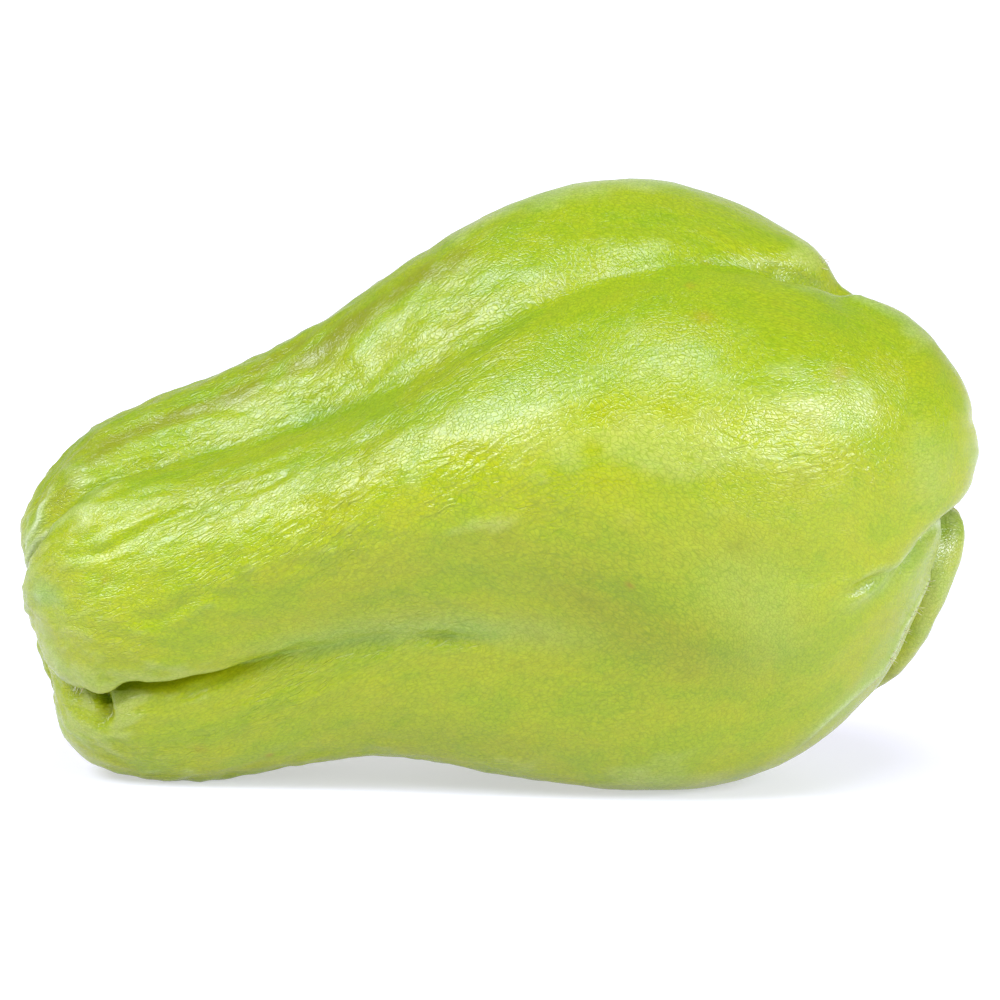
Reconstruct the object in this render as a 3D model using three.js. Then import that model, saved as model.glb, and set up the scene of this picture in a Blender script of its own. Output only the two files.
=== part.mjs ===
// A chayote squash lying on its side. Millimetres: +X runs from the stem end to the blossom end, +Y away
// from the front, +Z up. The origin is on the surface that the fruit lies on, under the middle of it.

import * as THREE from "three";

// Half the outline of a fruit with no lobes, from the bottom of the stem hollow to the bottom of the blossom
// hollow: [distance along the length, radius].
const MERIDIAN = [
  [-58.8, 0],
  [-59.4, 2.6],
  [-62.7, 4.6],
  [-64.7, 7.8],
  [-63.2, 14.4],
  [-56.5, 20.0],
  [-46.0, 23.6],
  [-34.0, 25.5],
  [-22.0, 27.7],
  [-11.0, 31.3],
  [1.0, 35.5],
  [12.0, 38.1],
  [23.0, 39.0],
  [34.0, 37.2],
  [44.0, 33.0],
  [52.0, 27.2],
  [58.9, 19.6],
  [62.3, 12.0],
  [60.5, 5.5],
  [53.5, 0],
];

// The line that the cross-sections are centred on: [x, height, distance back, width over height].
const SPINE = [
  [-68, 27.0, 4.0, 0.95],
  [-56, 24.5, 4.0, 0.94],
  [-45, 25.0, 3.5, 0.93],
  [-28, 30.4, 2.0, 0.92],
  [-11, 36.6, 0.5, 0.9],
  [10, 40.3, 0.0, 0.89],
  [33, 39.3, 0.0, 0.89],
  [46, 39.0, 0.0, 0.9],
  [56, 40.0, 0.0, 0.9],
  [68, 41.2, 0.0, 0.92],
];

// Furrows between the five lobes, by share of the meridian from stem to blossom end:
// [share, degrees above the front, depth, half-width, how far the lobe above hangs over it].
const FURROWS = {
  frontLower: [
    [0.0, -34, 1.5, 1.2, 0.0],
    [0.04, -34, 2.5, 1.3, 0.3],
    [0.07, -33.5, 4.5, 1.7, 2.2],
    [0.1, -33, 6.0, 1.8, 4.2],
    [0.13, -31, 5.5, 1.6, 4.0],
    [0.15, -27.5, 5.0, 1.5, 3.6],
    [0.166, -26, 5.0, 1.5, 3.4],
    [0.18, -22, 5.0, 1.5, 3.0],
    [0.22, -22, 3.5, 1.5, 2.4],
    [0.26, -22.5, 2.5, 1.6, 1.9],
    [0.32, -23, 1.6, 1.8, 1.0],
    [0.4, -25, 1.2, 2.0, 0.3],
    [0.5, -25.5, 0.6, 2.5, 0.0],
    [0.6, -25, 0.0, 4.0, 0.0],
    [0.76, -22, 0.0, 2.5, 0.0],
    [0.81, -18, 0.8, 1.5, 0.2],
    [0.85, -12, 1.8, 1.4, 0.8],
    [0.92, -5, 2.5, 1.5, 1.0],
    [1.0, 0, 2.5, 1.5, 0.0],
  ],
  frontUpper: [
    [0.0, 8, 1.5, 1.5, 0.0],
    [0.06, 12, 1.2, 1.3, 0.0],
    [0.09, 26, 1.8, 1.2, 0.0],
    [0.11, 37, 1.2, 1.2, 0.0],
    [0.13, 45, 0.3, 2.0, 0.0],
    [0.16, 52, 0.2, 3.0, 0.0],
    [0.2, 57, 0.5, 3.5, 0.0],
    [0.3, 57, 0.6, 3.5, 0.0],
    [0.4, 52, 0.4, 4.0, 0.0],
    [0.5, 53, 0.4, 4.0, 0.0],
    [0.6, 59, 0.8, 3.0, 0.0],
    [0.7, 70, 2.0, 3.0, 0.0],
    [0.76, 77, 4.0, 2.0, 0.0],
    [0.82, 88, 4.0, 2.0, 0.0],
    [1.0, 100, 4.0, 1.8, 0.0],
  ],
  backUpper: [
    [0.0, 124, 2.0, 1.5, 0.0],
    [0.3, 124, 1.2, 2.5, 0.0],
    [0.6, 130, 0.6, 3.5, 0.0],
    [0.82, 144, 1.5, 2.5, 0.0],
    [1.0, 152, 2.5, 1.5, 0.0],
  ],
  backLower: [
    [0.0, 192, 2.0, 1.5, 0.0],
    [0.3, 194, 1.5, 2.5, 0.0],
    [0.6, 200, 0.6, 3.5, 0.0],
    [0.82, 204, 1.5, 2.5, 0.0],
    [1.0, 208, 2.5, 1.5, 0.0],
  ],
  under: [
    [0.0, 262, 2.0, 1.5, 0.0],
    [0.12, 262, 3.0, 2.0, 0.0],
    [0.3, 264, 1.5, 2.5, 0.0],
    [0.6, 264, 0.8, 3.0, 0.0],
    [0.76, 268, 3.0, 2.0, 0.0],
    [0.8, 275, 4.5, 1.8, 0.0],
    [0.83, 284, 5.0, 1.8, 0.0],
    [0.855, 294, 5.0, 1.8, 0.0],
    [0.88, 306, 5.0, 1.6, 0.0],
    [0.91, 320, 4.5, 1.5, 0.0],
    [1.0, 330, 3.0, 1.5, 0.0],
  ],
};

// How far each lobe swells out of the plain fruit, and how square-shouldered it is, from 0 to 1:
// [share, height, fullness]. A lobe lies above the furrow that has its place in FURROWS.
const LOBES = {
  front: [
    [0, 0, 1],
    [0.06, 3.0, 0.6],
    [0.09, 3.0, 0.7],
    [0.12, 3.0, 1],
    [0.3, 4.5, 0],
    [0.6, 4.5, 0],
    [0.74, 3.8, 0.1],
    [0.84, 4.2, 0.5],
    [0.92, 4.8, 0.7],
    [0.97, 4.0, 0.7],
    [1, 0, 1],
  ],
  top: [
    [0, 0, 1],
    [0.06, 2.6, 0.7],
    [0.1, 2.5, 0.7],
    [0.2, 5.0, 0.3],
    [0.3, 4.8, 0],
    [0.6, 5.0, 0],
    [0.7, 3.5, 0.5],
    [0.76, 0.5, 1],
    [0.84, -1.5, 1],
    [0.92, -1.0, 1],
    [1, 0, 1],
  ],
  back: [
    [0, 0, 1],
    [0.08, 2.5, 1],
    [0.3, 4.0, 0],
    [0.6, 4.5, 0],
    [0.78, 3.0, 0.6],
    [0.9, 2.0, 1],
    [1, 0, 1],
  ],
  backBottom: [
    [0, 0, 1],
    [0.08, 2.5, 1],
    [0.14, 3.4, 1],
    [0.2, 5.4, 0.5],
    [0.4, 5.6, 0],
    [0.6, 9.0, 0],
    [0.76, 2.6, 0.6],
    [0.84, 2.2, 1],
    [0.92, 3.3, 1],
    [0.97, 3.0, 1],
    [1, 0, 1],
  ],
  bottom: [
    [0, 0, 1],
    [0.05, -0.8, 1],
    [0.1, 1.2, 1],
    [0.14, 3.4, 1],
    [0.2, 3.8, 0.5],
    [0.4, 4.5, 0],
    [0.6, 5.0, 0],
    [0.76, 2.0, 0.1],
    [0.84, 0.2, 0.5],
    [0.92, -1.0, 1],
    [1, 0, 1],
  ],
};

// Hollows, and swellings where the depth is below nothing:
// [share, degrees above the front, reach along, reach across, depth].
const DENTS = [
  [0.152, -37.5, 2.2, 1.9, 2.1],
  [0.085, -14, 3.5, 2.5, 1.0],
  [0.15, 47, 9, 7, -2.2],
  [0.72, -22, 20, 8, -1.8],
  [0.8, -18, 8, 6, -0.9],
  [0.815, 70, 7, 9, -1.7],
];

// The surface is a grid of rings and of lines from end to end, which lie closer together towards both ends
// and towards the furrows.
const RINGS = 56;
const RING_CROWDING = 0.35;
const LINES_PER_LOBE = 20;
const LINE_CROWDING = 0.6;
const ARC_STEPS = 800;

// Shape of a furrow's sides, of the lip over it, and of a lobe's shoulders.
const GROOVE_SHARPNESS = 1.4;
const LIP_REACH = 3;
const SHOULDER_POWER = 6;

// Lobes and furrows fade out within this radius of the two ends of the meridian.
const END_BLEND = 6;

const SKIN_COLOUR = 0xb1c54c;
const SKIN_ROUGHNESS = 0.42;

// A function that gives the values of a table's columns, other than its first one, at any place down it.
function through(rows) {
  const places = rows.map((row) => row[0]);
  const values = rows.flatMap((row) => row.slice(1));
  const curve = new THREE.CubicInterpolant(places, values, rows[0].length - 1);
  return (place) => {
    const inside = THREE.MathUtils.clamp(place, places[0], places[places.length - 1]);
    return Array.from(curve.evaluate(inside));
  };
}

// Steps from 0 to 1 that lie closer together at both ends.
function crowded(step, amount) {
  return THREE.MathUtils.lerp(step, 0.5 - 0.5 * Math.cos(Math.PI * step), amount);
}

const meridian = new THREE.SplineCurve(MERIDIAN.map(([x, r]) => new THREE.Vector2(x, r)));
meridian.arcLengthDivisions = ARC_STEPS;
const meridianLength = meridian.getLength();
const spineAt = through(SPINE);
const furrowAt = Object.values(FURROWS).map(through);
const lobeAt = Object.values(LOBES).map(through);
const LOBE_COUNT = furrowAt.length;

// Depth of a furrow at a distance from its line.
function groove(distance, depth, halfWidth) {
  return depth * Math.exp(-Math.pow(Math.abs(distance) / halfWidth, GROOVE_SHARPNESS));
}

// A lip's sideways shift: nothing on the furrow's line, most a few millimetres above it, nothing further up.
function overhang(distance, reach) {
  const near = Math.pow(Math.max(distance, 0) / LIP_REACH, 2);
  return reach * near * Math.exp(1 - near);
}

// A lobe's rise over its width, from the furrow below it to the one above it.
function lobeRise(acrossLobe, height, fullness) {
  const round = Math.pow(Math.sin(Math.PI * acrossLobe), 2);
  const square = 1 - Math.pow(Math.abs(2 * acrossLobe - 1), SHOULDER_POWER);
  return height * THREE.MathUtils.lerp(round, square, fullness);
}

// Depth of all the hollows at one place on the skin.
function dents(share, degrees, radius) {
  return DENTS.reduce((sum, [dentShare, dentDegrees, along, across, depth]) => {
    const turn = THREE.MathUtils.euclideanModulo(degrees - dentDegrees + 180, 360) - 180;
    const alongShare = ((share - dentShare) * meridianLength) / along;
    const acrossShare = (THREE.MathUtils.degToRad(turn) * radius) / across;
    return sum + depth * Math.exp(-alongShare * alongShare - acrossShare * acrossShare);
  }, 0);
}

// The point of the skin at a share of the meridian and a share of one lobe's width.
function skinPoint(share, lobe, acrossLobe) {
  const onMeridian = meridian.getPointAt(share);
  const tangent = meridian.getTangentAt(share);
  const outX = -tangent.y;
  const outR = tangent.x;
  const radius = Math.max(onMeridian.y, 0);
  const [height, back, flat] = spineAt(onMeridian.x);
  const below = furrowAt[lobe](share);
  const above = furrowAt[(lobe + 1) % LOBE_COUNT](share);
  const aboveDegrees = above[0] + (lobe === LOBE_COUNT - 1 ? 360 : 0);
  const degrees = THREE.MathUtils.lerp(below[0], aboveDegrees, acrossLobe);
  const lobeArc = radius * THREE.MathUtils.degToRad(aboveDegrees - below[0]);
  const fade = THREE.MathUtils.smoothstep(radius, 0, END_BLEND);
  const swell = lobeRise(acrossLobe, ...lobeAt[lobe](share));
  const fromBelow = acrossLobe * lobeArc;
  const fromAbove = (1 - acrossLobe) * lobeArc;
  const cut = groove(fromBelow, below[1], below[2]) + groove(fromAbove, above[1], above[2]);
  const out = fade * (swell - cut - dents(share, degrees, radius));
  const slide = fade * overhang(fromBelow, below[3]);
  const angle = THREE.MathUtils.degToRad(degrees);
  const reach = radius + outR * out;
  const z = height + reach * Math.sin(angle) - slide * Math.cos(angle);
  return new THREE.Vector3(
    onMeridian.x + outX * out,
    back - reach * flat * Math.cos(angle) - slide * Math.sin(angle),
    Math.max(z, 0),
  );
}

// One closed surface with its middle over the origin.
function fruitGeometry() {
  const around = LOBE_COUNT * LINES_PER_LOBE;
  const points = [skinPoint(0, 0, 0)];
  for (let ring = 1; ring < RINGS; ring += 1) {
    const share = crowded(ring / RINGS, RING_CROWDING);
    for (let line = 0; line < around; line += 1) {
      const lobe = Math.floor(line / LINES_PER_LOBE);
      const step = (line % LINES_PER_LOBE) / LINES_PER_LOBE;
      points.push(skinPoint(share, lobe, crowded(step, LINE_CROWDING)));
    }
  }
  points.push(skinPoint(1, 0, 0));
  const last = points.length - 1;
  const at = (ring, line) => 1 + (ring - 1) * around + (line % around);
  const faces = [];
  for (let line = 0; line < around; line += 1) {
    faces.push(0, at(1, line), at(1, line + 1));
    for (let ring = 1; ring < RINGS - 1; ring += 1) {
      faces.push(at(ring, line), at(ring + 1, line), at(ring + 1, line + 1));
      faces.push(at(ring, line), at(ring + 1, line + 1), at(ring, line + 1));
    }
    faces.push(last, at(RINGS - 1, line + 1), at(RINGS - 1, line));
  }
  const geometry = new THREE.BufferGeometry().setFromPoints(points);
  geometry.setIndex(faces);
  geometry.computeBoundingBox();
  const middle = geometry.boundingBox.getCenter(new THREE.Vector3());
  geometry.translate(-middle.x, -middle.y, 0);
  geometry.computeVertexNormals();
  return geometry;
}

const skin = new THREE.MeshStandardMaterial({ color: SKIN_COLOUR, roughness: SKIN_ROUGHNESS, metalness: 0 });
const fruit = new THREE.Mesh(fruitGeometry(), skin);
fruit.name = "fruit";

const chayote = new THREE.Group();
chayote.add(fruit);

export default chayote;
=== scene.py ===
import heapq
import math
import random

import bmesh
import bpy
import numpy as np
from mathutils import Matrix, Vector, noise
from mathutils.bvhtree import BVHTree


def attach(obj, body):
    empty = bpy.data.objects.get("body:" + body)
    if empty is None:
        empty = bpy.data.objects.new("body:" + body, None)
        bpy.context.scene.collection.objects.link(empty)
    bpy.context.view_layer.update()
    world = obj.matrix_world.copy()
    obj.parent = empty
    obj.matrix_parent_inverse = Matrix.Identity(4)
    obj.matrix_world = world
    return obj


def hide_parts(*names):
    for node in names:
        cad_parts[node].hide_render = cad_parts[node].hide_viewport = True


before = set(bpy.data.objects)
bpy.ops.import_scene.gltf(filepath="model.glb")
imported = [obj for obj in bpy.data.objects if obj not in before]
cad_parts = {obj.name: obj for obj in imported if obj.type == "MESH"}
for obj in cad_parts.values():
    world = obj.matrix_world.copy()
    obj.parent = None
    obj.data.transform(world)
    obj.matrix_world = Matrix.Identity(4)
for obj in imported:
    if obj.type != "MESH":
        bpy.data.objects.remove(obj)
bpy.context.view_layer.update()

mm = 0.001
reach = 0.2         # metres, starts every ray outside the fruit
endX = 60 * mm      # beyond it the ends' hollows begin, so sections stop there


def middleAt(tree, x):
    # middle of the section at x, found from its top, bottom, front and back
    x = min(max(x, -endX), endX)
    top = tree.ray_cast(Vector((x, 0, reach)), Vector((0, 0, -1)))[0]
    bottom = tree.ray_cast(Vector((x, 0, -reach)), Vector((0, 0, 1)))[0]
    height = (top.z + bottom.z) / 2
    front = tree.ray_cast(Vector((x, -reach, height)), Vector((0, 1, 0)))[0]
    back = tree.ray_cast(Vector((x, reach, height)), Vector((0, -1, 0)))[0]
    return Vector((x, (front.y + back.y) / 2, height))


def skinAt(tree, x, degrees):
    # point of the skin at x millimetres along and so many degrees above the front
    middle = middleAt(tree, x * mm)
    middle.x = x * mm
    turn = math.radians(degrees)
    out = Vector((0, -math.cos(turn), math.sin(turn)))
    return tree.ray_cast(middle + out * reach, -out)[0]


fruitMesh = {
    "levels": 2,            # subdivision of the solid's own quads
    "lumpHeight": 0.30,     # mm, broad unevenness
    "lumpSize": (22, 14),   # mm, along the fruit and across
    "dimpleHeight": 0.20,   # mm, hollows and swellings a finger's breadth apart
    "dimpleSize": (9, 5.5),
    "crumpleHeight": 0.30,  # mm, crumpled look of the waxy skin
    "crumpleSize": (3.4, 2.2),
    "crumpleFine": 0.35,    # share of a second crumple, half as large
    "bellyCrumple": 0.33,   # share of it that reaches the belly
    "foldHeight": 0.20,     # mm, lengthwise wrinkles of the neck
    "foldSize": (13, 2.6),
    "foldSlant": 0.28,      # how far the wrinkles climb towards the blossom end
    "foldFade": (-30, 25),  # mm, x where the wrinkles begin to fade and where they are gone
    "foldCrest": (0.6, 2.2),    # height of a wrinkle's crest, and how steeply it falls to both sides
    "patchSize": (18, 11),      # mm, patches that are more wrinkled or less
    "patchShare": (0.6, 1.3),   # how wrinkled they are on average, and how much that differs
    "patchLeast": 0.15,
    "seed": 11.0,
}


def subdividedCopy(node, name, levels):
    bm = bmesh.new()
    bm.from_mesh(node.data)
    bmesh.ops.remove_doubles(bm, verts=bm.verts, dist=1e-6)
    bmesh.ops.join_triangles(bm, faces=bm.faces, angle_face_threshold=math.pi,
                             angle_shape_threshold=math.pi)
    coarse = bpy.data.meshes.new(name + "Coarse")
    bm.to_mesh(coarse)
    bm.free()
    obj = bpy.data.objects.new(name, coarse)
    bpy.context.scene.collection.objects.link(obj)
    sub = obj.modifiers.new("Subdivision", "SUBSURF")
    sub.levels = sub.render_levels = levels
    fine = bpy.data.meshes.new_from_object(obj.evaluated_get(bpy.context.evaluated_depsgraph_get()))
    obj.modifiers.clear()
    obj.data = fine
    bpy.data.meshes.remove(coarse)
    fine.name = name
    for face in fine.polygons:
        face.use_smooth = True
    return obj


fruit = subdividedCopy(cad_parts["fruit"], "chayoteFruit", fruitMesh["levels"])
baseTree = BVHTree.FromObject(fruit, bpy.context.evaluated_depsgraph_get())
print("fruit subdivided:", len(fruit.data.vertices), "points")


class Clay:
    # the fruit's points as an array, moved by strokes and written back at the end
    def __init__(self, obj):
        self.mesh = obj.data
        self.count = len(self.mesh.vertices)
        edges = np.empty(len(self.mesh.edges) * 2, dtype=np.int64)
        self.mesh.edges.foreach_get("vertices", edges)
        self.a, self.b = edges.reshape(-1, 2).T
        self.degree = np.bincount(self.a, minlength=self.count)
        self.degree += np.bincount(self.b, minlength=self.count)
        self.co = np.empty((self.count, 3))
        self.normal = np.empty((self.count, 3))
        flat = np.empty(self.count * 3)
        self.mesh.vertices.foreach_get("co", flat)
        self.co[:] = flat.reshape(-1, 3)
        self.readNormals()
        lengths = np.linalg.norm(self.co[self.a] - self.co[self.b], axis=1) / mm
        self.next = [[] for _ in range(self.count)]
        for i, j, length in zip(self.a.tolist(), self.b.tolist(), lengths.tolist()):
            self.next[i].append((j, length))
            self.next[j].append((i, length))

    def readNormals(self):
        flat = np.empty(self.count * 3)
        self.mesh.vertices.foreach_get("normal", flat)
        self.normal[:] = flat.reshape(-1, 3)

    def store(self):
        self.mesh.vertices.foreach_set("co", self.co.reshape(-1))
        self.mesh.update()
        self.readNormals()

    def relaxed(self, values, rounds):
        # each point's value replaced by its neighbours' mean, again and again
        for _ in range(rounds):
            total = np.bincount(self.a, values[self.b], self.count)
            total += np.bincount(self.b, values[self.a], self.count)
            values = total / self.degree
        return values

    def hollow(self, rounds):
        # how far the relaxed skin lies outside the skin, mm: furrows above nothing, ridges below
        smooth = np.stack([self.relaxed(self.co[:, k], rounds) for k in range(3)], axis=1)
        return ((smooth - self.co) * self.normal).sum(1) / mm


def waysOver(clay, starts, limit=math.inf):
    # shortest way over the mesh to each point from the nearest of the starts, mm, up to a limit
    far = {}
    heap = [(0.0, i) for i in starts]
    while heap:
        way, i = heapq.heappop(heap)
        if i in far:
            continue
        far[i] = way
        for j, length in clay.next[i]:
            if j not in far and way + length < limit:
                heapq.heappush(heap, (way + length, j))
    return far


def fadeBetween(values, start, end):
    t = np.clip((values - start) / (end - start), 0, 1)
    return t * t * (3 - 2 * t)


flowPlan = {
    "spineStep": 4,         # mm between the sections that the spine is found from
    "smoothing": 250,       # rounds over the mesh for the lengthwise way
    "leastRing": 8.0,       # mm, ring radius kept at the poles, so the skin's lines run into them
    "mostRing": 30.0,
    "ringShare": 0.95,
    "binWidth": 3.0,        # mm
    "tipBlend": (24, 48),   # mm, x where plain position takes over, since ways meet in a kink there
}


def flowOf(clay, tree, plan):
    # skin coordinates in mm: the way from the stem pole, then a ring round the spine
    span = int(endX / mm)
    xs = np.arange(-span, span + 1, plan["spineStep"]) * mm
    middles = np.array([middleAt(tree, x) for x in xs])
    x = clay.co[:, 0]
    across = clay.co[:, 1:] - np.stack([np.interp(x, xs, middles[:, k]) for k in (1, 2)], axis=1)
    radius = np.linalg.norm(across, axis=1)
    along = across / np.maximum(radius, 1e-6)[:, None]
    radius = radius / mm
    stemPole = tree.ray_cast(Vector((-reach, middles[0, 1], middles[0, 2])), Vector((1, 0, 0)))[0]
    tipPole = tree.ray_cast(Vector((reach, middles[-1, 1], middles[-1, 2])), Vector((-1, 0, 0)))[0]
    start = np.linalg.norm(clay.co - np.array(stemPole), axis=1).argmin()
    ways = waysOver(clay, [int(start)])
    way = clay.relaxed(np.array([ways[i] for i in range(clay.count)]), plan["smoothing"])
    bins = (way / plan["binWidth"]).astype(int)
    sizes = np.bincount(bins)
    mean = np.bincount(bins, radius) / np.maximum(sizes, 1)
    ring = np.interp(way, (np.arange(len(mean)) + 0.5) * plan["binWidth"], mean)
    base = np.minimum(plan["mostRing"], plan["leastRing"] + plan["ringShare"] * ring)
    start, end = plan["tipBlend"]
    share = fadeBetween(x / mm, start, end)
    shift = np.mean((way - x / mm)[(x > start * mm) & (x < end * mm)])
    flow = np.column_stack([way, along * (base + radius - ring)[:, None]])
    plain = np.column_stack([x / mm + shift, across / mm])
    flow += (plain - flow) * share[:, None]
    return flow, np.array(stemPole), np.array(tipPole)


clay = Clay(fruit)
flow, stemPole, tipPole = flowOf(clay, baseTree, flowPlan)
spineXs = [x * mm for x in range(-60, 61, flowPlan["spineStep"])]
spineHeights = [middleAt(baseTree, x).z for x in spineXs]
print("flow found: %.0f mm long, poles at" % flow[:, 0].max(),
      (stemPole / mm).round(1), (tipPole / mm).round(1))


def flowNoise(flow, size, seed, slant=0.0):
    # noise stretched along the flow: size is its scale along and across, mm
    along, across = size
    shift = Vector((seed, seed * 2.3, -seed))
    height = flow[:, 2] - slant * flow[:, 0]
    at = np.column_stack([flow[:, 0] / along, flow[:, 1] / across, height / across])
    return np.array([noise.noise(Vector(p) + shift) for p in at.tolist()])


def strokeLine(tree, path, step=0.4):
    # skin points along a path of (x, degrees) places, smoothed and evenly spaced
    knots = np.array([skinAt(tree, x, degrees) for x, degrees in path])
    ends = np.vstack([2 * knots[0] - knots[1], knots, 2 * knots[-1] - knots[-2]])
    line = []
    for i in range(1, len(ends) - 2):
        p0, p1, p2, p3 = ends[i - 1], ends[i], ends[i + 1], ends[i + 2]
        count = max(2, int(np.linalg.norm(p2 - p1) / (step * mm)))
        for k in range(count):
            t = k / count
            line.append(0.5 * ((2 * p1) + (p2 - p0) * t + (2 * p0 - 5 * p1 + 4 * p2 - p3) * t * t
                               + (3 * p1 - p0 - 3 * p2 + p3) * t ** 3))
    line.append(knots[-1])
    return np.array(line)


def settled(tree, line):
    # the line laid onto another state of the skin
    return np.array([tree.find_nearest(Vector(point))[0] for point in line])


def beside(clay, line, width, widths=2.5):
    # the points near a line by way of the skin, their distance from it in widths, and a taper to its ends
    room = width * mm * widths
    low, high = line.min(0) - room, line.max(0) + room
    within = np.nonzero(((clay.co > low) & (clay.co < high)).all(1))[0]
    away = np.linalg.norm(clay.co[within, None, :] - line[None, :, :], axis=2)
    starts = set(within[away.argmin(0)].tolist())
    joined = waysOver(clay, starts, room / mm * 1.5 + 0.5)
    kept = np.array([i in joined for i in within.tolist()])
    near, away = within[kept], away[kept]
    at = away.argmin(1)
    distance = away[np.arange(len(near)), at] / (width * mm)
    along = at / (len(line) - 1)
    taper = np.sqrt(np.clip(np.sin(np.pi * np.clip(along, 0.02, 0.98)), 0, 1))
    return near, distance, taper


def carve(clay, line, depth, width, lip=0.0):
    # a furrow along the line, shallower towards its ends, with raised shoulders where lip is given
    near, distance, taper = beside(clay, line, width, 4.0 if lip else 2.5)
    move = -depth * np.exp(-distance ** 2) + lip * np.exp(-((distance - 1.9) / 0.9) ** 2)
    clay.co[near] += clay.normal[near] * (move * taper * mm)[:, None]


def drag(clay, line, width, move):
    # skin near the line is pulled along one vector, mm
    near, distance, taper = beside(clay, line, width)
    clay.co[near] += (np.exp(-distance ** 2) * taper)[:, None] * np.array(move) * mm


def press(clay, point, depth, radius):
    # a round hollow, or a swelling where depth is below nothing
    away = np.linalg.norm(clay.co - np.array(point), axis=1) / (radius * mm)
    near = away < 2.5
    clay.co[near] -= clay.normal[near] * (depth * mm * np.exp(-away[near] ** 2))[:, None]


def nudge(clay, centre, radii, move):
    # both sides of the fruit shifted together round a place in x and z, mm
    away = (clay.co[:, [0, 2]] / mm - centre) / radii
    weight = np.exp(-(away ** 2).sum(1)) * mm
    clay.co[:, 0] += weight * move[0]
    clay.co[:, 2] += weight * move[1]


def soothe(clay, line, width, rounds):
    # the skin near a line relaxed, so that a groove there fills up
    near, distance, taper = beside(clay, line, width)
    share = (np.exp(-distance ** 2) * taper)[:, None]
    smooth = np.stack([clay.relaxed(clay.co[:, k], rounds) for k in range(3)], axis=1)
    clay.co[near] += (smooth[near] - clay.co[near]) * share


def paintStainAndLight(clay, mask, line, width, strength):
    # raises a mask along a line, for real stains and for painted light and shade
    near, distance, taper = beside(clay, line, width)
    mask[near] = np.maximum(mask[near], strength * np.exp(-distance ** 2) * taper)


broad = flowNoise(flow, fruitMesh["lumpSize"], fruitMesh["seed"])
dimples = flowNoise(flow, fruitMesh["dimpleSize"], fruitMesh["seed"] * 2)
crumple = flowNoise(flow, fruitMesh["crumpleSize"], fruitMesh["seed"] * 3)
fineSize = [size / 2 for size in fruitMesh["crumpleSize"]]
crumple += fruitMesh["crumpleFine"] * flowNoise(flow, fineSize, fruitMesh["seed"] * 4)
foldTop, foldFall = fruitMesh["foldCrest"]
folds = flowNoise(flow, fruitMesh["foldSize"], fruitMesh["seed"] * 5, fruitMesh["foldSlant"])
folds = foldTop - np.abs(folds) * foldFall
neck = 1 - fadeBetween(clay.co[:, 0] / mm, *fruitMesh["foldFade"])
patchLevel, patchGain = fruitMesh["patchShare"]
wrinkled = flowNoise(flow, fruitMesh["patchSize"], fruitMesh["seed"] * 6) * patchGain + patchLevel
wrinkled = np.clip(wrinkled, fruitMesh["patchLeast"], 1)
crumpled = fruitMesh["bellyCrumple"] + (1 - fruitMesh["bellyCrumple"]) * neck
rise = (broad * fruitMesh["lumpHeight"] + dimples * fruitMesh["dimpleHeight"]
        + crumple * crumpled * fruitMesh["crumpleHeight"]
        + folds * neck * wrinkled * fruitMesh["foldHeight"])
clay.co += clay.normal * (rise * mm)[:, None]
clay.store()
print("skin made uneven by up to %.2f mm" % np.abs(rise).max())

# creases, folds and slits: path of (x mm, degrees above the front), depth, width, lip
creases = [
    ([(47.5, -20.5), (49, -19), (50.5, -17), (52, -14), (54, -10.5)], 0.9, 0.8, 0.2),
    ([(49.8, -18), (51, -16), (52.3, -13.5)], 0.8, 0.7, 0.1),
    ([(-60, 23.5), (-56, 23.5), (-53, 24), (-50.5, 25.5), (-47.5, 28), (-45.5, 29.5), (-42, 30),
      (-38.5, 31)], 0.32, 0.8, 0.22),
    ([(-35, 31), (-33, 30), (-30, 30), (-28, 30.5)], 0.35, 0.7, 0.25),
    ([(-49, 23), (-46, 24.5), (-42.5, 26.5), (-39, 27.5)], 0.22, 0.7, 0.15),
    ([(-47.5, -3), (-44.5, -0.5), (-41, 2), (-37.5, 1.5)], 0.28, 0.8, 0.0),
    ([(-55, -46), (-53, -48.5), (-51, -54)], 0.3, 1.0, 0.12),
    ([(-56.5, -51), (-54.5, -55.5), (-52.5, -58.5)], 0.25, 1.0, 0.1),
    ([(37, 72.5), (40, 75), (43, 77.5), (46.5, 81)], 0.15, 0.6, 0.05),
    ([(-11, -33.5), (-8, -34), (-5, -34.4), (-1, -34.6)], 0.5, 0.9, 0.15),
    ([(-53, 45.5), (-48, 49.5), (-41, 53), (-34, 51), (-27, 51.5), (-20, 48), (-13, 46.5), (-6, 48.5),
      (0.5, 51.5), (9, 54.5), (17, 56.5), (25, 59)], 0.7, 2.7, 0.1),
    ([(-35, 57), (-24, 56), (-13, 53)], 0.75, 2.4, 0),
    ([(-51.5, 52), (-52, 56), (-51, 60)], 0.3, 0.6, 0.12),
    ([(-46.5, 52.5), (-47.2, 56), (-46, 60)], 0.35, 0.7, 0.12),
    ([(-55.2, -33.5), (-54.6, -36.5), (-54.2, -39.5), (-54.6, -42.5)], 2.6, 1.0, 0.4),
]
# thin raised edges where one lobe laps over the next, each with a painted highlight
rimPaths = [
    [(-60, 38.5), (-61.5, 39.5), (-63, 41.5), (-64, 41), (-64.5, 39), (-65.5, 36.5), (-66, 33)],
    [(-62.5, 63), (-64, 55.5), (-64.5, 49), (-65.5, 44.5), (-66, 40.5)],
    [(53.5, -10.5), (56.5, -5), (59, 0.5), (62.3, -1)],
    [(61.5, -10), (61.4, -20), (61, -26.5), (59.5, -29), (57, -39.5), (54.5, -50), (52, -54.5),
     (49, -56), (45.5, -58), (42, -62.5)],
]
rimShape = {
    "height": 0.4,          # mm
    "width": 0.7,           # mm
    "highlightWidth": 0.5,      # mm, of the painted highlight line on top
    "highlightStrength": 0.9,
}
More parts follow.
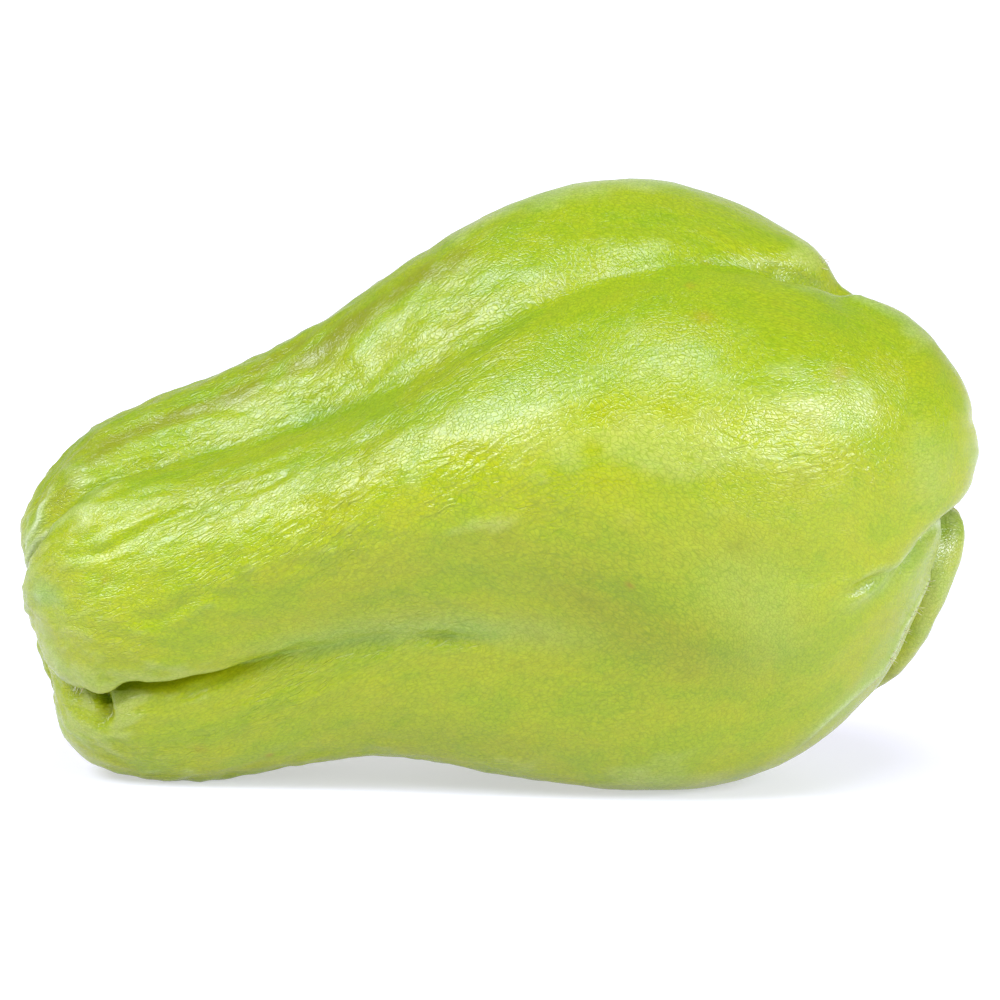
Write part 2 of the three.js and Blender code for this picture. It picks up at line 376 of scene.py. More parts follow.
# raised wrinkles: path, height, width
ridges = [
    ([(-42.5, -3.5), (-41, -1), (-39, -0.5), (-36.5, -1.5)], 0.42, 0.9),
    ([(-46, -6.5), (-44, -5), (-41.5, -3.5)], 0.3, 0.9),
    ([(2, 66), (12, 68), (22, 67), (31, 69), (39, 73)], 0.8, 4.0),
    ([(-7.5, -2), (-3.5, -1.5), (0.5, -1.5), (5.5, -1)], 0.2, 1.2),
    ([(-11.5, -2), (-9, -2), (-6, -2)], 0.14, 0.9),
    ([(-58.3, -39.2), (-57.2, -41), (-56, -42.2)], 0.4, 0.6),
]
# shifts of both sides together: centre in x and z, radii, shift, all in mm
shifts = [
    ((-64.5, 21.5), (6, 6.0), (1.5, 0)),
    ((-62.5, 12.5), (6, 4), (1.5, 0)),
    ((-64.5, 40), (6, 5), (0.7, -0.2)),
    ((43.9, 74.1), (4.5, 4.5), (0.6, 0.75)),
    ((48.1, 69.4), (2, 2), (-0.4, -0.4)),
    ((65, 36.8), (4.5, 4.5), (1.2, 1.0)),
    ((65.8, 26.5), (3.5, 5), (-1.4, 0)),
    ((63.5, 22.3), (4, 2.4), (-0.9, 0)),
    ((56, 14), (4, 4), (0.4, -0.5)),
    ((44, 4), (12, 6), (0.2, -0.35)),
    ((68, 51.3), (3, 1.6), (-0.5, 0)),
    ((68, 46.5), (3, 2.0), (0.35, 0)),
]
for centre, radii, move in shifts:
    nudge(clay, centre, radii, move)
# the solid's groove beside the stem is filled up: its path, width in mm, rounds of relaxing
filled = ([(-65, 40), (-64, 43.5), (-62.5, 46.5), (-60.5, 49), (-57, 50)], 3.0, 60)
soothe(clay, strokeLine(baseTree, filled[0]), *filled[1:])
# skin pulled along a vector in mm: path, width, vector
pulls = [
    ([(-64.3, 55), (-64, 67.5), (-62.5, 77.5), (-60, 79.5), (-57, 80.5)], 5.5, (0.75, 0, -0.55)),
    ([(48.3, 80), (50, 70), (52, 70), (54.5, 71)], 2.2, (0.1, 0, 0.55)),
    ([(-58, -27.5), (-55.5, -27.5), (-53, -28), (-51.5, -28)], 1.5, (0, -0.3, -0.9)),
    ([(-50.8, -29.5), (-50, -29)], 0.9, (0, 0.2, 0.5)),
    ([(-49, -26), (-47.5, -26), (-46, -26.5)], 1.2, (0, -0.2, -0.35)),
]
for path, width, move in pulls:
    drag(clay, strokeLine(baseTree, path), width, move)
for path, depth, width, lip in creases:
    carve(clay, strokeLine(baseTree, path), depth, width, lip)
for path, height, width in ridges:
    carve(clay, strokeLine(baseTree, path), -height, width)
# round hollows, and swellings where the depth is below nothing: place, depth, radius
hollows = [
    ((-61.8, 6.5), 0.45, 1.5),
    ((-62.8, 0), -0.3, 0.7),
]
for place, depth, radius in hollows:
    press(clay, skinAt(baseTree, *place), depth, radius)
clay.store()
# the rims follow the shifted skin, as they are thinner than the shifts
shapedTree = BVHTree.FromObject(fruit, bpy.context.evaluated_depsgraph_get())
for path in rimPaths:
    carve(clay, settled(shapedTree, strokeLine(baseTree, path)), -rimShape["height"], rimShape["width"])
clay.store()
finalTree = BVHTree.FromObject(fruit, bpy.context.evaluated_depsgraph_get())
print("creases, ridges and rims made:", len(creases), len(ridges), len(rimPaths))


def addMask(mesh, name, values):
    layer = mesh.attributes.new(name, "FLOAT", "POINT")
    layer.data.foreach_set("value", np.asarray(values, dtype=np.float32))


def addVectors(mesh, name, values):
    layer = mesh.attributes.new(name, "FLOAT_VECTOR", "POINT")
    layer.data.foreach_set("vector", np.asarray(values, dtype=np.float32).reshape(-1))


def maskAlong(clay, paths, tree=None):
    # a mask raised along some paths, which are laid onto another state of the skin where a tree is given
    mask = np.zeros(clay.count)
    for path, width, strength in paths:
        line = strokeLine(baseTree, path)
        paintStainAndLight(clay, mask, line if tree is None else settled(tree, line), width, strength)
    return mask


def maskOfSpots(clay, spots):
    mask = np.zeros(clay.count)
    for x, degrees, size, strength in spots:
        away = np.linalg.norm(clay.co - np.array(skinAt(baseTree, x, degrees)), axis=1) / (size * mm)
        mask = np.maximum(mask, strength * np.exp(-away ** 2))
    return mask


def maskOfPatches(clay, patches):
    # smooth patches given by x, degrees above the front and half lengths both ways
    height = (clay.co[:, 2] - np.interp(clay.co[:, 0], spineXs, spineHeights)) / mm
    turned = np.degrees(np.arctan2(height, -clay.co[:, 1] / mm))
    mask = np.zeros(clay.count)
    for x, degrees, long, tall, strength in patches:
        away = ((clay.co[:, 0] / mm - x) / long) ** 2 + ((turned - degrees) / tall) ** 2
        mask = np.maximum(mask, strength * np.exp(-away ** 2))
    return mask


# each path is a list of (x mm, degrees above the front) places, then its width in mm and its strength
stainsAndPaintedLight = {
    "olive": [              # olive streaks along the neck's back
        ([(-62, 51), (-60.5, 56), (-58, 62), (-55.5, 67), (-52.5, 72), (-46.5, 75), (-40, 77),
          (-33.5, 76.5), (-27, 78)], 2.0, 0.85),
        ([(-31, 75), (-27, 77), (-23.5, 77.5), (-16.5, 77.5), (-10, 77), (-3, 75.5)], 2.6, 0.95),
        ([(-48, 78), (-38, 81), (-28, 83), (-16, 84)], 2.5, 0.45),
    ],
    "bloomAndSheen": [              # pale patches in folds, along lapping edges and at both ends: partly waxy bloom, partly a painted reflection of the pale surroundings
        ([(-65, 10), (-63, 8), (-61.5, 5.5), (-61, 1)], 2.2, 0.9),
        ([(-64.5, -5), (-62.5, -18), (-60, -26)], 1.5, 0.5),
        ([(-34, -24), (-22, -28), (-10, -30), (2, -31), (12, -31)], 2.6, 0.55),
        ([(46, -24), (50, -20), (55, -12), (59, -3), (62.5, 0)], 2.2, 0.6),
        ([(61, -10), (60.5, -22), (57, -36), (53.5, -50), (48, -56), (40, -63)], 1.8, 0.6),
        ([(-65.5, 38), (-65, 48), (-63, 58)], 1.2, 0.6),
        ([(28, -8), (36, -20), (41, -34)], 6.0, 0.35),
        ([(57, 36), (59, 22), (60, 8)], 4.0, 0.4),
    ],
    "lowFrontShade": [               # painted shade: darker, duller green low on the front
        ([(4, -14), (13, -21), (22, -27), (31, -30), (38, -31)], 6.5, 1.0),
        ([(-22, -58), (-11, -60), (2, -58), (14, -58)], 4.0, 0.6),
    ],
    "rust": [               # x mm, degrees above the front, radius in mm, strength
        (-31.5, -59.5, 0.5, 1), (-41, -51.5, 0.6, 0.5), (28.5, 66, 0.5, 0.8), (18, -16.5, 0.5, 0.7),
        (52.5, -57.5, 0.5, 0.8), (46.5, 35, 1.3, 0.4), (28, 44.5, 1.2, 0.4), (26.5, 55, 0.8, 0.4),
        (-53.5, 14, 0.6, 0.5),
    ],
    "rimHighlightRounds": 30,            # rounds of relaxing against which a sharp ridge stands out, for its painted highlight
    "rimHighlightRange": (0.5, 1.3),     # the height over it that counts as none, and the gain above
    "rimHighlightMost": 0.18,
    "cavityRounds": 120,
    "upFacingShadeRounds": 40,
    "upFacingShadeRange": (0.1, 0.85),  # height of the skin's direction where the painted shade of the up-facing side begins and is full
    "mottles": [((9, 5), 7, 1), ((4, 2.4), 8, 0.5), ((2, 1.4), 9, 0.3)],    # size in mm, seed, share
    # fine raised wrinkles: x mm, degrees above the front, half lengths in mm and degrees, strength
    "streakyPatches": [(-14, 6, 24, 13, 1.0), (-42, 2, 14, 9, 0.55), (40, 17, 14, 9, 0.9)],
    "streakySize": (12, 5),     # mm, of the gaps in those patches
    "streakyRange": (0.55, 2.2),
    "streakySlant": 0.3,
    "streakySeed": 21,
    "wrinkledFade": (-5, 50),   # mm, x where the furrows begin to fade and where the fewest are left
    "wrinkledLeast": 0.35,
}
rimLevel, rimGain = stainsAndPaintedLight["rimHighlightRange"]
# painted highlight: pale on sharp ridges and along the lapping edges
rims = np.clip(-clay.hollow(stainsAndPaintedLight["rimHighlightRounds"]) * rimGain - rimLevel, 0, stainsAndPaintedLight["rimHighlightMost"])
for path in rimPaths:
    line = settled(finalTree, strokeLine(baseTree, path))
    paintStainAndLight(clay, rims, line, rimShape["highlightWidth"], rimShape["highlightStrength"])
mottle = sum(share * flowNoise(flow, size, seed) for size, seed, share in stainsAndPaintedLight["mottles"])
upward = clay.relaxed(clay.normal[:, 2], stainsAndPaintedLight["upFacingShadeRounds"])
streakyLevel, streakyGain = stainsAndPaintedLight["streakyRange"]
gaps = flowNoise(flow, stainsAndPaintedLight["streakySize"], stainsAndPaintedLight["streakySeed"], stainsAndPaintedLight["streakySlant"])
streaky = maskOfPatches(clay, stainsAndPaintedLight["streakyPatches"]) * np.clip(gaps * streakyGain + streakyLevel, 0, 1)
furrowed = 1 - fadeBetween(clay.co[:, 0] / mm, *stainsAndPaintedLight["wrinkledFade"])
furrowed = stainsAndPaintedLight["wrinkledLeast"] + (1 - stainsAndPaintedLight["wrinkledLeast"]) * furrowed
addMask(fruit.data, "bloomAndSheen", maskAlong(clay, stainsAndPaintedLight["bloomAndSheen"], finalTree))
addMask(fruit.data, "lowFrontShade", maskAlong(clay, stainsAndPaintedLight["lowFrontShade"]))
addMask(fruit.data, "cavity", clay.hollow(stainsAndPaintedLight["cavityRounds"]))
addMask(fruit.data, "rimHighlight", rims)
addMask(fruit.data, "upFacingShade", fadeBetween(upward, *stainsAndPaintedLight["upFacingShadeRange"]))
addMask(fruit.data, "mottle", mottle)
addMask(fruit.data, "streaky", streaky)
addMask(fruit.data, "wrinkled", wrinkled * furrowed)
addMask(fruit.data, "olive", maskAlong(clay, stainsAndPaintedLight["olive"]))
addMask(fruit.data, "spot", maskOfSpots(clay, stainsAndPaintedLight["rust"]))
addMask(fruit.data, "stemWay", np.linalg.norm(clay.co - stemPole, axis=1) / mm)
addMask(fruit.data, "tipWay", np.linalg.norm(clay.co - tipPole, axis=1) / mm)
addVectors(fruit.data, "flow", flow)
print("masks written")


class Graph:
    # short ways to add nodes to one material and to join them
    def __init__(self, name):
        self.material = bpy.data.materials.new(name)
        self.material.use_nodes = True
        self.nodes = self.material.node_tree.nodes
        self.links = self.material.node_tree.links
        self.nodes.clear()
        output = self.nodes.new("ShaderNodeOutputMaterial")
        self.shader = self.nodes.new("ShaderNodeBsdfPrincipled")
        self.links.new(self.shader.outputs["BSDF"], output.inputs["Surface"])

    def put(self, socket, value):
        if isinstance(value, bpy.types.NodeSocket):
            self.links.new(value, socket)
        else:
            socket.default_value = value

    def attribute(self, name, output="Fac"):
        node = self.nodes.new("ShaderNodeAttribute")
        node.attribute_name = name
        return node.outputs[output]

    def math(self, operation, *values):
        node = self.nodes.new("ShaderNodeMath")
        node.operation = operation
        for socket, value in zip(node.inputs, values):
            self.put(socket, value)
        return node.outputs[0]

    def total(self, *terms):
        result = terms[0]
        for term in terms[1:]:
            result = self.math("ADD", result, term)
        return result

    def times(self, a, b):
        return self.math("MULTIPLY", a, b)

    def stretch(self, vector, scale):
        node = self.nodes.new("ShaderNodeVectorMath")
        node.operation = "MULTIPLY"
        self.put(node.inputs[0], vector)
        node.inputs[1].default_value = scale
        return node.outputs[0]

    def shifted(self, vector, by, amount):
        # the vector moved by a noise colour, so that patterns lose their straight lines
        scaled = self.nodes.new("ShaderNodeVectorMath")
        scaled.operation = "MULTIPLY_ADD"
        self.put(scaled.inputs[0], by)
        scaled.inputs[1].default_value = (amount, amount, amount)
        self.put(scaled.inputs[2], vector)
        return scaled.outputs[0]

    def scaled(self, vector, by):
        node = self.nodes.new("ShaderNodeVectorMath")
        node.operation = "SCALE"
        self.put(node.inputs[0], vector)
        self.put(node.inputs["Scale"], by)
        return node.outputs[0]

    def noise(self, vector, detail=2.0, roughness=0.5, output="Fac"):
        node = self.nodes.new("ShaderNodeTexNoise")
        self.put(node.inputs["Vector"], vector)
        node.inputs["Scale"].default_value = 1
        node.inputs["Detail"].default_value = detail
        node.inputs["Roughness"].default_value = roughness
        return node.outputs[output]

    def cells(self, vector):
        node = self.nodes.new("ShaderNodeTexVoronoi")
        self.put(node.inputs["Vector"], vector)
        node.inputs["Scale"].default_value = 1
        node.feature = "DISTANCE_TO_EDGE"
        return node.outputs["Distance"]

    def sheared(self, vector, slant):
        # z lowered by a share of x, so that a pattern climbs along the fruit
        split = self.nodes.new("ShaderNodeSeparateXYZ")
        join = self.nodes.new("ShaderNodeCombineXYZ")
        self.put(split.inputs[0], vector)
        self.put(join.inputs["X"], split.outputs["X"])
        self.put(join.inputs["Y"], split.outputs["Y"])
        self.put(join.inputs["Z"], self.math("MULTIPLY_ADD", split.outputs["X"], -slant, split.outputs["Z"]))
        return join.outputs[0]

    def between(self, value, low, high, first=0.0, last=1.0):
        # smooth step from first at low to last at high
        node = self.nodes.new("ShaderNodeMapRange")
        node.interpolation_type = "SMOOTHSTEP"
        self.put(node.inputs["Value"], value)
        node.inputs["From Min"].default_value = low
        node.inputs["From Max"].default_value = high
        node.inputs["To Min"].default_value = first
        node.inputs["To Max"].default_value = last
        return node.outputs["Result"]

    def middleLines(self, value, width):
        # thin lines where a noise passes its middle
        return self.between(self.math("ABSOLUTE", self.math("SUBTRACT", value, 0.5)), 0.0, width, 1.0, 0.0)

    def tinted(self, factor, colour, tint):
        return self.mix(factor, colour, self.mix(1.0, colour, tint, "MULTIPLY"))

    def mix(self, factor, a, b, blend="MIX"):
        node = self.nodes.new("ShaderNodeMix")
        node.data_type = "RGBA"
        node.blend_type = blend
        self.put(node.inputs[0], factor)
        for socket, value in ((node.inputs[6], a), (node.inputs[7], b)):
            self.put(socket, value if isinstance(value, bpy.types.NodeSocket) else (*value, 1))
        return node.outputs[2]


skinLook = {
    "colour": (0.308, 0.364, 0.002),
    "yellower": (0.352, 0.378, 0.003),
    "greener": (0.258, 0.349, 0.001),
    "upFacingShadeTint": (0.71, 0.81, 0.55),      # painted shade: skin facing up is darker and greener, to even out the strong top light; partly the real greener upper side
    "creaseShadeTint": (0.64, 0.84, 0.25),     # painted shade in deep folds and hollows
    "valleyShadeTint": (0.69, 0.80, 0.40),     # painted shade in the lines between the skin's cells and in the furrows, partly the lines' own darker green
    # painted shade low on the front
    "lowFrontShadeTint": (0.84, 0.85, 0.90),
    "creaseShadeRange": (0.10, 1.5),           # mm, hollow where that painted shade begins and is full
    # painted highlight on ridges and lapping edges
    "rimHighlightColour": (0.52, 0.58, 0.32),
    "bloomAndSheenColour": (0.285, 0.415, 0.110),
    "oliveColour": (0.165, 0.188, 0.001),
    "spotColour": (0.30, 0.15, 0.01),
    "corkColour": (0.26, 0.19, 0.08),
    "corkDark": (0.10, 0.065, 0.025),
    "yellowRange": (0.0, 0.45),           # blotches where the yellower and the greener skin begin
    "greenRange": (-0.45, -0.05),
    "blotchShare": 0.6,
    "fleckSize": (1.7, 1.0),
    "fleckShare": 0.7,
    "bloomAndSheenShare": 0.75,
    "rimHighlightShare": 0.9,
    "spotShare": 0.8,
    "oliveFleck": 0.5,                    # how ragged the olive streaks are
    "oliveMottle": 0.45,
    "oliveRange": (0.35, 1.25),
    "oliveShare": 0.85,
    "wobbleSize": (1.9, 1.3),             # mm, bends every pattern a little
    "wobble": 0.75,
    "cellSize": (0.70, 0.45),             # mm, along the fruit and across
    "cellDepth": 0.020,                   # mm
    "cellEdge": 0.19,                     # how much of a cell slopes down to the lines between
    "cellShade": 0.74,
    "cellShadeWidth": 0.8,                # share of that slope that is darker
    "streakSize": (4.2, 1.0),
    "streakSlant": 0.30,
    "furrowDepth": 0.052,                 # thin lengthwise furrows with flat skin between them
    "furrowWidth": 0.075,                 # share of the noise's span
    "furrowShade": 0.6,
    "crestSize": (5.5, 1.35),             # fine raised wrinkles
    "crestHeight": 0.13,
    "crestWidth": 0.16,
    "grainShade": (0.92, 1.08),
    "grainRange": (0.3, 0.7),
    "grainSize": 0.34,
    "grainStretch": 1.5,                  # how much longer a grain is along the fruit
    "grainDepth": 0.019,
    "sheen": 0.04,
    "sheenRoughness": 0.3,
    "roughness": 0.19,
    "grainRoughness": 0.08,
    "domeRoughness": 0.02,
    "scarRoughness": 0.4,
    "ior": 1.44,
    "stemScar": 3.4,                      # mm, radius of the corky mark at the stem
    "stemRagged": 1.6,                    # mm, how far its edge strays
    "stemEdge": (-0.6, 0.4),              # mm, its soft edge
    "tipScar": 1.6,
    "tipRagged": 1.2,
    "tipEdge": (-0.5, 0.6),
    "scarDepth": 0.25,
    "corkRange": (0.35, 0.6),
}


def perSize(size):
    along, across = size
    return (1 / along, 1 / across, 1 / across)


def skinMaterial(look):
    g = Graph("chayoteSkin")
    flow = g.attribute("flow", "Vector")
    wobble = g.noise(g.stretch(flow, perSize(look["wobbleSize"])), 0.0, 0.5, "Color")
    bent = g.shifted(flow, wobble, look["wobble"])

    # thin-lined cells, lengthwise furrows with flat skin between them, fine raised wrinkles and a grain
    edge = g.cells(g.stretch(bent, perSize(look["cellSize"])))
    dome = g.between(edge, 0.0, look["cellEdge"])
    grainScale = perSize((look["grainSize"] * look["grainStretch"], look["grainSize"]))
    grain = g.noise(g.stretch(flow, grainScale), 1.0, 0.6)
    slanted = g.sheared(bent, look["streakSlant"])
    streak = g.noise(g.stretch(slanted, perSize(look["streakSize"])), 1.0, 0.5)
    furrow = g.times(g.middleLines(streak, look["furrowWidth"]), g.attribute("wrinkled"))
    crest = g.noise(g.stretch(slanted, perSize(look["crestSize"])), 1.0, 0.5)
    crest = g.middleLines(crest, look["crestWidth"])
    height = g.total(
        g.times(dome, look["cellDepth"]),
        g.times(g.times(crest, g.attribute("streaky")), look["crestHeight"]),
        g.times(furrow, -look["furrowDepth"]),
        g.times(grain, look["grainDepth"]),
    )

    # corky scars at both ends, their edges strayed by the furrows' noise
    scars = []
    for end in ("stem", "tip"):
        ragged = look[end + "Ragged"]
        way = g.total(g.attribute(end + "Way"), g.times(streak, ragged), -ragged / 2)
        inner, outer = [look[end + "Scar"] + margin for margin in look[end + "Edge"]]
        scars.append(g.between(way, inner, outer, 1.0, 0.0))
    scar = g.math("MAXIMUM", *scars)
    height = g.total(height, g.times(g.times(grain, scar), look["scarDepth"]))

    # colour: mottling, painted shade on the up-facing side, in folds and low on the front, bloom partly
    # painted as reflection, and painted highlights on the rims
    mottle = g.attribute("mottle")
    fleck = g.noise(g.stretch(bent, perSize(look["fleckSize"])), 1.0, 0.5)
    blotch = g.total(mottle, g.times(fleck, look["fleckShare"]), -look["fleckShare"] / 2)
    yellow = g.between(blotch, *look["yellowRange"], 0.0, look["blotchShare"])
    green = g.between(blotch, *look["greenRange"], look["blotchShare"], 0.0)
    colour = g.mix(yellow, look["colour"], look["yellower"])
    colour = g.mix(green, colour, look["greener"])
    # painted shade: darker, greener where the skin faces up
    colour = g.tinted(g.attribute("upFacingShade"), colour, look["upFacingShadeTint"])
    # painted shade: hollows and folds darker and greener
    colour = g.tinted(g.between(g.attribute("cavity"), *look["creaseShadeRange"]), colour, look["creaseShadeTint"])
    # painted shade low on the front
    colour = g.tinted(g.attribute("lowFrontShade"), colour, look["lowFrontShadeTint"])
    # partly waxy bloom, partly a painted reflection of the pale surroundings
    colour = g.mix(g.times(g.attribute("bloomAndSheen"), look["bloomAndSheenShare"]), colour, look["bloomAndSheenColour"])
    # painted highlight on the rims
    colour = g.mix(g.times(g.attribute("rimHighlight"), look["rimHighlightShare"]), colour, look["rimHighlightColour"])

    # then the grain, the lines and furrows with their painted shade, the olive streaks, the rust spots and
    # the cork
    colour = g.scaled(colour, g.between(grain, *look["grainRange"], *look["grainShade"]))
    # painted shade in the cell lines and the furrows
    valleyShade = g.between(edge, 0.0, look["cellEdge"] * look["cellShadeWidth"], look["cellShade"], 0.0)
    valleyShade = g.math("MAXIMUM", valleyShade, g.times(furrow, look["furrowShade"]))
    colour = g.tinted(valleyShade, colour, look["valleyShadeTint"])
    ragged = g.total(g.attribute("olive"), g.times(fleck, look["oliveFleck"]),
                     g.times(mottle, look["oliveMottle"]))
    ragged = g.between(ragged, *look["oliveRange"], 0.0, look["oliveShare"])
    colour = g.mix(ragged, colour, look["oliveColour"])
    colour = g.mix(g.times(g.attribute("spot"), look["spotShare"]), colour, look["spotColour"])
    corkTone = g.mix(g.between(grain, *look["corkRange"]), look["corkDark"], look["corkColour"])
    colour = g.mix(scar, colour, corkTone)

    rough = g.total(look["roughness"], g.times(grain, look["grainRoughness"]),
                    g.times(dome, look["domeRoughness"]), g.times(scar, look["scarRoughness"]))
    bump = g.nodes.new("ShaderNodeBump")
    bump.inputs["Strength"].default_value = 1
    bump.inputs["Distance"].default_value = mm
    g.put(bump.inputs["Height"], height)
    g.put(g.shader.inputs["Base Color"], colour)
    g.put(g.shader.inputs["Roughness"], rough)
    g.put(g.shader.inputs["Normal"], bump.outputs["Normal"])
    g.shader.inputs["IOR"].default_value = look["ior"]
    g.shader.inputs["Sheen Weight"].default_value = look["sheen"]
    g.shader.inputs["Sheen Roughness"].default_value = look["sheenRoughness"]
    return g.material


fruit.data.materials.clear()
fruit.data.materials.append(skinMaterial(skinLook))

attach(fruit, "root")
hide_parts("fruit")
print("skin painted")

bristlePlan = {
    "length": (0.6, 1.4),     # mm
    "radius": 0.07,           # mm at the root
    "tipShare": 0.15,         # radius left at the tip
    "lean": 0.55,
    "sides": 4,
    "sunk": 0.15,             # mm below the skin, so that every bristle is rooted
    "colour": (0.60, 0.62, 0.36),
    "tipColour": (0.52, 0.42, 0.20),
    "patchScale": 900,        # per metre, of the browner patches
    "patchRange": (0.4, 0.65),
    "roughness": 0.45,
    "patchRoughness": 0.2,
    "seed": 5,
    # tufts: a path of (x, degrees) places, how far they scatter in mm and degrees, how many
    "tufts": [
        ([(44.8, 82), (46, 86), (46.5, 92)], 0.8, 12),
        ([(60.8, -26.5), (59, -30), (57, -39.5), (55.5, -46), (54.5, -51)], 0.5, 26),
        ([(-57, -30), (-58.5, -33)], 1.0, 6),
        ([(-60, 120), (-30, 140), (0, 200), (40, 150)], 12, 10),
    ],
}


def makeBristles(plan, surface):
    # single stiff hairs, each a slim four-sided cone, all in one piece
    draw = random.Random(plan["seed"])
    tree = BVHTree.FromObject(surface, bpy.context.evaluated_depsgraph_get())
    bm = bmesh.new()
    for path, scatter, count in plan["tufts"]:
        for k in range(count):
            at = draw.uniform(0, len(path) - 1.001)     # a little short, so that a next place is there
            (x0, d0), (x1, d1) = path[int(at)], path[int(at) + 1]
            t = at - int(at)
            x = x0 + (x1 - x0) * t + draw.uniform(-scatter, scatter) * 0.5
            degrees = d0 + (d1 - d0) * t + draw.uniform(-scatter, scatter)
            root = skinAt(tree, x, degrees)
            if root is None:
                continue
            normal = tree.find_nearest(root)[1]
            lean = Vector([draw.uniform(-1, 1) for _ in range(3)]) * plan["lean"]
            out = (normal + lean).normalized()
            long = draw.uniform(*plan["length"]) * mm
            turn = out.to_track_quat("Z", "Y").to_matrix().to_4x4()
            turn.translation = root + out * (long / 2 - plan["sunk"] * mm)
            radius = plan["radius"] * mm
            bmesh.ops.create_cone(bm, cap_ends=True, segments=plan["sides"], radius1=radius,
                                  radius2=radius * plan["tipShare"], depth=long, matrix=turn)
    mesh = bpy.data.meshes.new("chayoteBristles")
    bm.to_mesh(mesh)
    bm.free()
    for face in mesh.polygons:
        face.use_smooth = True
    piece = bpy.data.objects.new("chayoteBristles", mesh)
    bpy.context.scene.collection.objects.link(piece)
    return piece


def bristleMaterial(plan):
    # pale and straw coloured, patchily browner
    g = Graph("bristle")
    place = g.nodes.new("ShaderNodeTexCoord").outputs["Object"]
    patch = g.noise(g.stretch(place, (plan["patchScale"],) * 3), 2.0)
    colour = g.mix(g.between(patch, *plan["patchRange"]), plan["colour"], plan["tipColour"])
    g.put(g.shader.inputs["Base Color"], colour)
    rough = g.total(g.times(patch, plan["patchRoughness"]), plan["roughness"])
    g.put(g.shader.inputs["Roughness"], rough)
    return g.material


bristles = makeBristles(bristlePlan, fruit)
bristles.data.materials.append(bristleMaterial(bristlePlan))
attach(bristles, "root")
print("bristles set:", len(bristles.data.polygons), "faces")


studio = {
    "floorColour": (0.50, 0.50, 0.53),
    "floorGlow": (0.48, 0.475, 0.53),     # a pale lit table, so that shadows on it stay faint
    "floorSize": 8,                       # metres from its middle to its edge
    "floorRoughness": 0.5,
    "sunColour": (0.935, 0.96, 1.19),
    "suns": [                             # strength, degrees across, degrees high, degrees to the left
        (3.00, 32, 45, 65),
        (1.75, 19, 28, -62),
        (1.75, 27, 69, -14),
        (0.85, 13, 22, -42),
    ],
    "skyLow": 1.0,                        # brightness at the horizon, overhead and round the camera
    "skyHigh": 0.34,
    "skyFront": 0.54,
    "skyBack": 0.9,                       # the bright wall behind the fruit
    "skyCentre": 0.26,                    # share of it that is left right behind the camera
    "fadeUp": (0, 0.25),                  # heights of the direction between which the sky dims
    "fadeFront": (0.3, -0.7),             # the same along y, round the camera
    "fadeBack": (0.78, 0.97),
    "fadeCentre": (-0.65, -0.95),
    "distance": 0.75,
    "frameWidth": 0.1406,                 # seen at the target
    "sensorWidth": 36,
    "clipEnd": 50,
    "tilt": 8,                            # degrees above level
    "target": (0.0006, 0, 0.0389),
}


def makeFloor(plan):
    bm = bmesh.new()
    bmesh.ops.create_grid(bm, x_segments=1, y_segments=1, size=plan["floorSize"])
    mesh = bpy.data.meshes.new("floor")
    bm.to_mesh(mesh)
    bm.free()
    floor = bpy.data.objects.new("floor", mesh)
    bpy.context.scene.collection.objects.link(floor)
    g = Graph("floorPaint")
    g.shader.inputs["Base Color"].default_value = (*plan["floorColour"], 1)
    g.shader.inputs["Roughness"].default_value = plan["floorRoughness"]
    g.shader.inputs["Emission Color"].default_value = (*plan["floorGlow"], 1)
    g.shader.inputs["Emission Strength"].default_value = 1
    mesh.materials.append(g.material)


def towards(turn, height):
    # direction so many degrees to the left of the front and so many high
    a, e = math.radians(turn), math.radians(height)
    return Vector((-math.sin(a) * math.cos(e), -math.cos(a) * math.cos(e), math.sin(e)))


def makeSun(name, colour, strength, size, height, turn):
    light = bpy.data.lights.new(name, "SUN")
    light.energy = strength
    light.angle = math.radians(size)
    light.color = colour
    sun = bpy.data.objects.new(name, light)
    bpy.context.scene.collection.objects.link(sun)
    sun.rotation_mode = "QUATERNION"
    sun.rotation_quaternion = towards(turn, height).to_track_quat("Z", "Y")


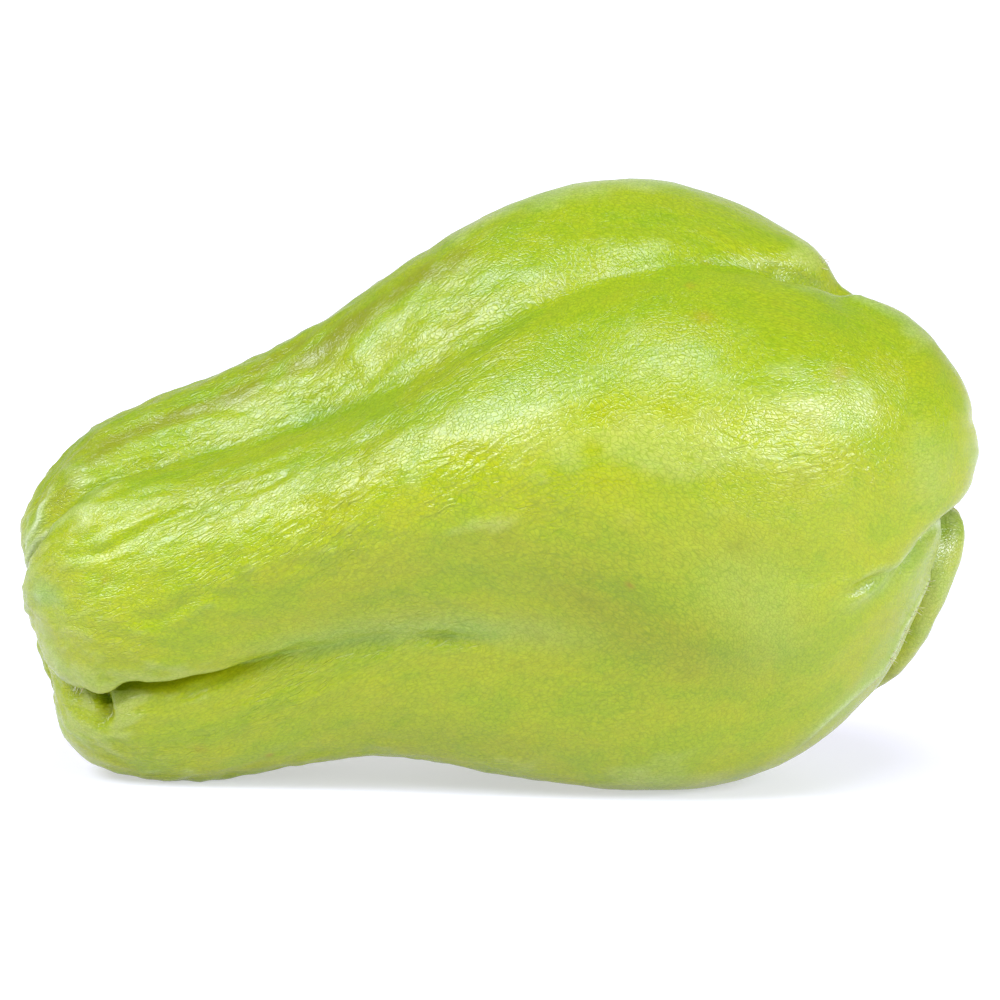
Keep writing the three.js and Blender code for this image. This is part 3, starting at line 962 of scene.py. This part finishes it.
def makeCamera(plan):
    data = bpy.data.cameras.new("camera")
    data.sensor_width = plan["sensorWidth"]
    data.lens = plan["sensorWidth"] * plan["distance"] / plan["frameWidth"]
    data.clip_end = plan["clipEnd"]
    camera = bpy.data.objects.new("camera", data)
    bpy.context.scene.collection.objects.link(camera)
    toCamera = towards(0, plan["tilt"])
    camera.location = Vector(plan["target"]) + toCamera * plan["distance"]
    camera.rotation_mode = "QUATERNION"
    camera.rotation_quaternion = toCamera.to_track_quat("Z", "Y")
    bpy.context.scene.camera = camera


def makeSky(plan):
    # bright along the horizon and behind the fruit, dimmer overhead and right behind the camera
    world = bpy.data.worlds.new("softWhite")
    world.use_nodes = True
    nodes, links = world.node_tree.nodes, world.node_tree.links
    background = nodes["Background"]
    place = nodes.new("ShaderNodeTexCoord")
    split = nodes.new("ShaderNodeSeparateXYZ")
    links.new(place.outputs["Generated"], split.inputs[0])

    def fade(axis, span, first, last):
        node = nodes.new("ShaderNodeMapRange")
        node.interpolation_type = "SMOOTHSTEP"
        start, end = span
        for name, value in (("From Min", start), ("From Max", end), ("To Min", first), ("To Max", last)):
            node.inputs[name].default_value = value
        links.new(split.outputs[axis], node.inputs["Value"])
        return node.outputs["Result"]

    def joined(operation, a, b):
        node = nodes.new("ShaderNodeMath")
        node.operation = operation
        links.new(a, node.inputs[0])
        links.new(b, node.inputs[1])
        return node.outputs[0]

    around = fade("Z", plan["fadeUp"], plan["skyLow"], plan["skyHigh"])
    sky = joined("MAXIMUM", around, fade("Y", plan["fadeFront"], 0, plan["skyFront"]))
    sky = joined("MAXIMUM", sky, fade("Y", plan["fadeBack"], 0, plan["skyBack"]))
    sky = joined("MULTIPLY", sky, fade("Y", plan["fadeCentre"], 1, plan["skyCentre"]))
    links.new(sky, background.inputs["Strength"])
    background.inputs["Color"].default_value = (1, 1, 1, 1)
    bpy.context.scene.world = world


makeFloor(studio)
for number, sun in enumerate(studio["suns"]):
    makeSun("softSun%d" % (number + 1), studio["sunColour"], *sun)
makeCamera(studio)
makeSky(studio)
bpy.context.scene.view_settings.view_transform = "Standard"
print("studio set")
